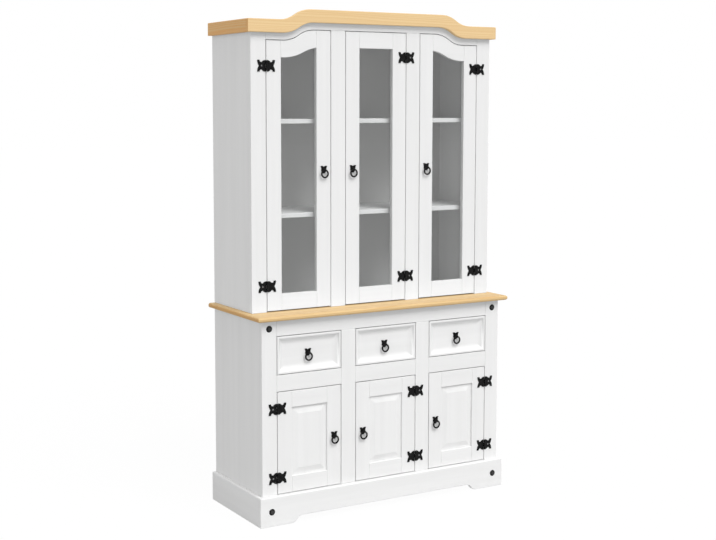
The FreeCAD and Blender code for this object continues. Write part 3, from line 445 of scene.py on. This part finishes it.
def make_iron(name, dark, rubbed, dents, **constants):
    """Hammered iron whose finish is rubbed paler in patches, with a painted highlight on the crown of a nail head.
    """
    material, tree, shader = new_material(name, **constants)
    face = place_group(tree, HAMMERED_FACE, Place=object_place(tree), Dents=dents)
    finish = blend_colours(tree, face.outputs["Rub"], dark, rubbed)
    # A nail head's crown is coloured paler: a painted highlight
    highlighted_finish = blend_colours(tree, attribute(tree, "crown_highlight", "Fac"), finish, PAINTED_CROWN_HIGHLIGHT)
    tree.links.new(highlighted_finish, shader.inputs["Base Color"])
    tree.links.new(remap(tree, face.outputs["Rub"], RISING, IRON_ROUGHNESS), shader.inputs["Roughness"])
    bump(tree, shader, face.outputs["Height"], strength=0.5, distance=DENT_DEPTH)
    return material


def make_clear_glass():
    """Window glass that lets light and shadow rays through."""
    material, tree, shader = new_material("clear glass", Roughness=0.02, IOR=1.5, Transmission_Weight=1.0)
    waves = noise(tree, object_place(tree), scale=5.0, detail=1.0)
    tree.links.new(blend_colours(tree, waves, *GLASS_TINTS), shader.inputs["Base Color"])
    bump(tree, shader, waves, strength=0.02, distance=GLASS_WAVE_DEPTH)
    clear = add_node(tree, "ShaderNodeBsdfTransparent", {"Color": (*GLASS_TINTS[0], 1.0)})
    path = add_node(tree, "ShaderNodeLightPath")
    light_ray = compute(tree, "MAXIMUM", path.outputs["Is Shadow Ray"], path.outputs["Is Diffuse Ray"])
    surface = mix_surface(tree, light_ray, shader.outputs["BSDF"], clear.outputs["BSDF"])
    tree.links.new(surface, tree.nodes["Material Output"].inputs["Surface"])
    return material


def make_plain(name, low, high, scale, roughness, **constants):
    """A plain finish with a slight cloud in its colour and gloss."""
    material, tree, shader = new_material(name, **constants)
    cloud = noise(tree, object_place(tree), scale, detail=4.0)
    tree.links.new(blend_colours(tree, cloud, low, high), shader.inputs["Base Color"])
    worn = remap(tree, cloud, NOISE_RANGE, [roughness + step for step in PLAIN_WEAR])
    tree.links.new(worn, shader.inputs["Roughness"])
    return material


FINISHES = {
    "white_paint": make_white_paint(),
    "waxed_pine": make_pine(
        "waxed pine",
        early=(0.92, 0.705, 0.40),
        late=(0.80, 0.54, 0.265),
        knot=(0.36, 0.18, 0.07),
        heart=(0.73, 0.31, 0.06),
        roughness=0.52,
    ),
    "bare_pine": make_pine(
        "bare pine",
        early=(0.84, 0.70, 0.49),
        late=(0.74, 0.55, 0.33),
        knot=(0.40, 0.23, 0.11),
        heart=(0.66, 0.47, 0.27),
        roughness=0.62,
    ),
    "back_panel": make_back_panel(),
    "black_iron": make_iron(
        "black iron",
        dark=(0.003, 0.003, 0.0032),
        rubbed=(0.014, 0.014, 0.0143),
        dents=260.0,
        Specular_IOR_Level=0.1,
    ),
    "clear_glass": make_clear_glass(),
    "steel_pin": make_plain(
        "steel pin",
        low=(0.48, 0.48, 0.49),
        high=(0.62, 0.62, 0.63),
        scale=300.0,
        roughness=0.34,
        Metallic=1.0,
    ),
    "catch_plastic": make_plain(
        "catch plastic",
        low=(0.72, 0.72, 0.70),
        high=(0.80, 0.80, 0.78),
        scale=120.0,
        roughness=0.45,
    ),
}
# Nodes whose finish differs from their slot's: the worktop's pine is darker than the cornice's, a painted shade
# that offsets the stronger light on its top
NODE_FINISHES = {
    "worktop": make_pine(
        "worktop pine with painted shade",
        early=(0.79, 0.59, 0.315),
        late=(0.69, 0.445, 0.20),
        knot=(0.33, 0.16, 0.06),
        heart=(0.62, 0.30, 0.085),
        roughness=0.52,
    ),
}
RUBBED_IRON = make_iron(
    "rubbed iron",
    dark=(0.16, 0.16, 0.165),
    rubbed=(0.34, 0.34, 0.345),
    dents=500.0,
    Metallic=1.0,
)


# Mesh helpers

def grid_place(point):
    """A point as whole steps of the weld distance."""
    return tuple(round(part / WELD) for part in point)


def box_round(points):
    """The low and the high corner of the box round some points."""
    low = Vector([min(point[axis] for point in points) for axis in range(3)])
    high = Vector([max(point[axis] for point in points) for axis in range(3)])
    return low, high


def pour_into(whole, shape):
    """Adds a finished bmesh to another one and frees it."""
    mesh = bpy.data.meshes.new("poured")
    shape.to_mesh(mesh)
    shape.free()
    whole.from_mesh(mesh)
    bpy.data.meshes.remove(mesh)


def add_object(name, data):
    """An object of the scene with its mesh, light or camera."""
    made = bpy.data.objects.new(name, data)
    bpy.context.scene.collection.objects.link(made)
    return made


def new_piece(name, body, shape, material):
    """A finished bmesh as a piece that rides on a body."""
    mesh = bpy.data.meshes.new(name)
    shape.to_mesh(mesh)
    shape.free()
    if "custom_normal" in mesh.attributes:
        mesh.attributes.remove(mesh.attributes["custom_normal"])
    mesh.materials.clear()
    mesh.materials.append(material)
    piece = add_object(name, mesh)
    normals = piece.modifiers.new("flat faces stay flat", "WEIGHTED_NORMAL")
    normals.keep_sharp = True
    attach(piece, body)
    return piece


# Boards and irons with eased edges

VECTOR_MARKS = ("grain", "along")
# The last mark is where a nail head gets its painted highlight
NUMBER_MARKS = ("board", "heartwood", "crown_highlight")


def closed_runs(mesh):
    """Ranges of faces that each close up into one solid, in the order in which the mesh holds them."""
    runs = []
    first = 0
    open_edges = set()
    for face in mesh.polygons:
        corners = [grid_place(mesh.vertices[index].co) for index in face.vertices]
        for edge in zip(corners, corners[1:] + corners[:1]):
            if edge[::-1] in open_edges:
                open_edges.discard(edge[::-1])
            else:
                open_edges.add(edge)
        if not open_edges:
            runs.append(range(first, face.index + 1))
            first = face.index + 1
    return runs


def crease_angles(mesh, run):
    """How far the normals of the two faces at each edge of a solid lie apart, by the edge's two ends."""
    first_side = {}
    angles = {}
    for index in run:
        loops = list(mesh.polygons[index].loop_indices)
        for one, other in zip(loops, loops[1:] + loops[:1]):
            ends = {}
            for loop in (one, other):
                place = grid_place(mesh.vertices[mesh.loops[loop].vertex_index].co)
                ends[place] = Vector(mesh.corner_normals[loop].vector)
            edge = frozenset(ends)
            if edge in first_side:
                angles[edge] = max(normal.angle(first_side[edge][place]) for place, normal in ends.items())
            first_side[edge] = ends
    return angles


def lies_square(edge):
    """True for an edge that runs along one of the axes."""
    step = edge.verts[1].co - edge.verts[0].co
    return sum(abs(part) > WELD for part in step) == 1


def stays_soft(node, edge, angle):
    """True where the flats of a curved surface meet: inside a drawer's cove and all over a nail head."""
    if node == "nail_heads":
        return angle < DOME_ANGLE
    is_drawer_front = node.startswith("drawer_") and node.endswith("_front")
    return is_drawer_front and angle < COVE_ANGLE and lies_square(edge)


def is_outer(edge):
    """True for a creased edge that stands out."""
    creased = edge.is_manifold and edge.is_convex and not edge.smooth
    return creased and edge.calc_face_angle() > SHARP_ANGLE


def eased_solid(node, mesh, run, width):
    """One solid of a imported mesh, merged and creased, with its outer edges rounded over."""
    solid = bmesh.new()
    solid.from_mesh(mesh)
    others = [face for face in solid.faces if face.index not in run]
    bmesh.ops.delete(solid, geom=others, context="FACES")
    bmesh.ops.remove_doubles(solid, verts=solid.verts, dist=WELD)
    angles = crease_angles(mesh, run)
    for edge in solid.edges:
        angle = angles[frozenset(grid_place(point.co) for point in edge.verts)]
        edge.smooth = angle < CREASE_ANGLE or stays_soft(node, edge, angle)
    bmesh.ops.dissolve_limit(solid, angle_limit=FLAT_ANGLE, verts=solid.verts, edges=solid.edges)
    solid.normal_update()
    outer = [edge for edge in solid.edges if is_outer(edge)]
    for edge in outer:
        edge.smooth = True
    bmesh.ops.bevel(
        solid,
        geom=outer,
        offset=width,
        offset_type="OFFSET",
        affect="EDGES",
        segments=EASE_STEPS,
        profile=ROUND_PROFILE,
        material=-1,
        clamp_overlap=True,
    )
    for face in solid.faces:
        face.smooth = True
    return solid


def mark_grain(node, solid, chance):
    """Stores each point's place along, across and through its board, and what is the board's own."""
    grain, run = (solid.verts.layers.float_vector.new(name) for name in VECTOR_MARKS)
    board, heart, crown_highlight = (solid.verts.layers.float.new(name) for name in NUMBER_MARKS)
    low, high = box_round([point.co for point in solid.verts])
    middle = (low + high) / 2
    size = high - low
    along, across, through = sorted(range(3), key=lambda axis: -size[axis])
    draw = chance.random()
    share = HEARTWOOD.get(node, USUAL_HEARTWOOD) * chance.uniform(*HEARTWOOD_SPREAD)
    for point in solid.verts:
        place = point.co - middle
        point[grain] = (place[along], place[across], place[through])
        point[run] = [float(axis == along) for axis in range(3)]
        point[board] = draw
        point[heart] = share
        # The crown of each nail head is marked for its painted highlight
        point[crown_highlight] = float(node == "nail_heads" and point.co.y < low.y + CROWN_DEPTH)


def ease_node(node, body, slot):
    """A node's solids with eased edges, shown in its place."""
    source = frame["nodes"][node].data
    chance = random.Random(node)
    whole = bmesh.new()
    for name in VECTOR_MARKS:
        whole.verts.layers.float_vector.new(name)
    for name in NUMBER_MARKS:
        whole.verts.layers.float.new(name)
    for run in closed_runs(source):
        solid = eased_solid(node, source, run, EASED_SLOTS[slot])
        mark_grain(node, solid, chance)
        pour_into(whole, solid)
    piece = new_piece(f"{node}_eased", body, whole, NODE_FINISHES.get(node, FINISHES[slot]))
    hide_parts(node)


def dress_nodes():
    """Gives every node its finish, and all but the round and clear ones eased edges."""
    for body, members in frame["record"]["behaviour"]["bodies"].items():
        for node in members:
            slot = frame["nodes"][node].material_slots[0].material.name
            if node.endswith(KEPT_AS_THEY_ARE):
                frame["nodes"][node].material_slots[0].material = FINISHES[slot]
            else:
                ease_node(node, body, slot)


# Screws in the hinge leaves

def screw_head():
    """A low domed head with a slot, standing on the XY plane and facing +Z."""
    head = bmesh.new()
    bmesh.ops.create_uvsphere(head, u_segments=SCREW_SIDES, v_segments=SCREW_TIERS, radius=SCREW_RADIUS)
    everything = head.verts[:] + head.edges[:] + head.faces[:]
    half = bmesh.ops.bisect_plane(head, geom=everything, plane_co=(0, 0, 0), plane_no=(0, 0, 1),
                                  clear_inner=True)
    rim = [item for item in half["geom_cut"] if isinstance(item, bmesh.types.BMEdge)]
    bmesh.ops.contextual_create(head, geom=rim)
    for place in SCREW_SLOT_CUTS:
        everything = head.verts[:] + head.edges[:] + head.faces[:]
        cut = (place * SCREW_SLOT_HALF, 0, 0)
        bmesh.ops.bisect_plane(head, geom=everything, plane_co=cut, plane_no=(1, 0, 0))
    bmesh.ops.scale(head, vec=(1, 1, SCREW_HEIGHT / SCREW_RADIUS), verts=head.verts)
    reach = SCREW_FLOOR_REACH * SCREW_SLOT_HALF
    floor = [point for point in head.verts if abs(point.co.x) < reach and point.co.z > SCREW_SLOT_DEPTH]
    bmesh.ops.translate(head, vec=(0, 0, -SCREW_SLOT_DEPTH), verts=floor)
    bmesh.ops.remove_doubles(head, verts=head.verts, dist=WELD)
    bmesh.ops.recalc_face_normals(head, faces=head.faces)
    for face in head.faces:
        face.smooth = True
    for edge in head.edges:
        edge.smooth = edge.calc_face_angle() < COVE_ANGLE
    return head


def leaf_places(node, axes):
    """Middles of the front faces of a node's hinge leaves, with the side of its axis that each one is on."""
    source = frame["nodes"][node].data
    least, most = LEAF_HEIGHT_RANGE
    places = []
    for run in closed_runs(source):
        points = [source.vertices[index].co for face in run for index in source.polygons[face].vertices]
        low, high = box_round(points)
        if not least < high.z - low.z < most or high.x - low.x < LEAF_LEAST_WIDTH:
            continue
        middle = (low + high) / 2
        axis_x = min(axes, key=lambda x: abs(x - middle.x))
        side = 1 if middle.x > axis_x else -1
        places.append((Vector((axis_x, high.y - LEAF_THICKNESS, middle.z)), side))
    return places


def fit_screws(name, body, places, tail_material):
    """Three screws in each leaf: two in its oval and one in its tail."""
    face_front = Matrix.Rotation(QUARTER_TURN, 4, "X")
    chance = random.Random(name)
    oval_spots = [(LEAF_OVAL_REACH, LEAF_OVAL_SPREAD), (LEAF_OVAL_REACH, -LEAF_OVAL_SPREAD)]
    tail_spots = [(LEAF_TAIL_REACH, 0.0)]
    kinds = {"oval": (oval_spots, FINISHES["black_iron"]), "tail": (tail_spots, tail_material)}
    for kind, (spots, material) in kinds.items():
        heads = bmesh.new()
        for middle, side in places:
            for reach, rise in spots:
                head = screw_head()
                turn = Matrix.Rotation(chance.uniform(0, math.pi), 4, "Z")
                spot = Matrix.Translation(middle + Vector((side * reach, 0, rise)))
                head.transform(spot @ face_front @ turn)
                pour_into(heads, head)
        new_piece(f"{name}_{kind}_screws", body, heads, material)


def fit_hinge_screws():
    """Screws in the leaves on the case and in those on each door."""
    hinges = [joint for joint in frame["joints"] if joint["name"].endswith("_hinge")]
    axes = {joint["child"]: joint["pos_m"][0] for joint in hinges}
    case_places = leaf_places("frame_hinge_leaves", sorted(set(axes.values())))
    fit_screws("frame_leaf", "case", case_places, RUBBED_IRON)
    for door, axis_x in axes.items():
        fit_screws(f"{door}_leaf", door, leaf_places(f"{door}_iron", [axis_x]), FINISHES["black_iron"])


# Studio

def white_to_the_eye(tree):
    """One for rays from the camera, reflections and glass, and nothing for the light on the object."""
    path = add_node(tree, "ShaderNodeLightPath")
    seen = compute(tree, "MAXIMUM", path.outputs["Is Camera Ray"], path.outputs["Is Glossy Ray"])
    return compute(tree, "MAXIMUM", seen, path.outputs["Is Transmission Ray"])


def lay_floor():
    """A pale floor that looks nearly white and keeps the object's soft shadow."""
    material, tree, shader = new_material("studio floor", Roughness=0.9, Specular_IOR_Level=0.0)
    shader.inputs["Base Color"].default_value = FLOOR_BOUNCE
    glow = add_node(tree, "ShaderNodeEmission", {"Color": WHITE, "Strength": FLOOR_GLOW})
    share = compute(tree, "MULTIPLY", white_to_the_eye(tree), FLOOR_WHITENESS)
    surface = mix_surface(tree, share, shader.outputs["BSDF"], glow.outputs["Emission"])
    tree.links.new(surface, tree.nodes["Material Output"].inputs["Surface"])
    plane = bmesh.new()
    bmesh.ops.create_grid(plane, x_segments=1, y_segments=1, size=FLOOR_HALF)
    mesh = bpy.data.meshes.new("floor")
    plane.to_mesh(mesh)
    plane.free()
    mesh.materials.append(material)
    floor = add_object("floor", mesh)


def light_studio():
    """An even white surround, a soft lamp from the front and above, and a weak one from the left."""
    world = bpy.data.worlds.new("studio")
    world.use_nodes = True
    tree = world.node_tree
    surround = tree.nodes["Background"]
    surround.inputs["Color"].default_value = WHITE
    surround.inputs["Strength"].default_value = AMBIENT_STRENGTH
    backdrop = add_node(tree, "ShaderNodeBackground", {"Color": WHITE, "Strength": 1.0})
    surface = mix_surface(tree, white_to_the_eye(tree), surround.outputs["Background"],
                          backdrop.outputs["Background"])
    tree.links.new(surface, tree.nodes["World Output"].inputs["Surface"])
    bpy.context.scene.world = world
    for name, (strength, softness, travel) in LAMPS.items():
        light = bpy.data.lights.new(name, "SUN")
        light.energy = strength
        light.angle = softness
        lamp = add_object(name, light)
        lamp.rotation_euler = Vector(travel).to_track_quat("-Z", "Y").to_euler()


def set_camera():
    """The photograph's view: a camera that dips slightly, with its frame shifted down and across."""
    data = bpy.data.cameras.new("camera")
    data.sensor_width = SENSOR_WIDTH
    data.lens = FOCAL_PIXELS * SENSOR_WIDTH / PHOTO_WIDTH
    data.shift_x = (PHOTO_WIDTH / 2 - AXIS_U) / PHOTO_WIDTH
    data.shift_y = (AXIS_V - PHOTO_HEIGHT / 2) / PHOTO_WIDTH
    camera = add_object("camera", data)
    camera.location = CAMERA_PLACE
    camera.rotation_euler = (QUARTER_TURN - CAMERA_DIP, 0.0, CAMERA_TURN)
    bpy.context.scene.camera = camera


dress_nodes()
fit_hinge_screws()
lay_floor()
light_studio()
set_camera()
bpy.context.scene.view_settings.view_transform = "Standard"
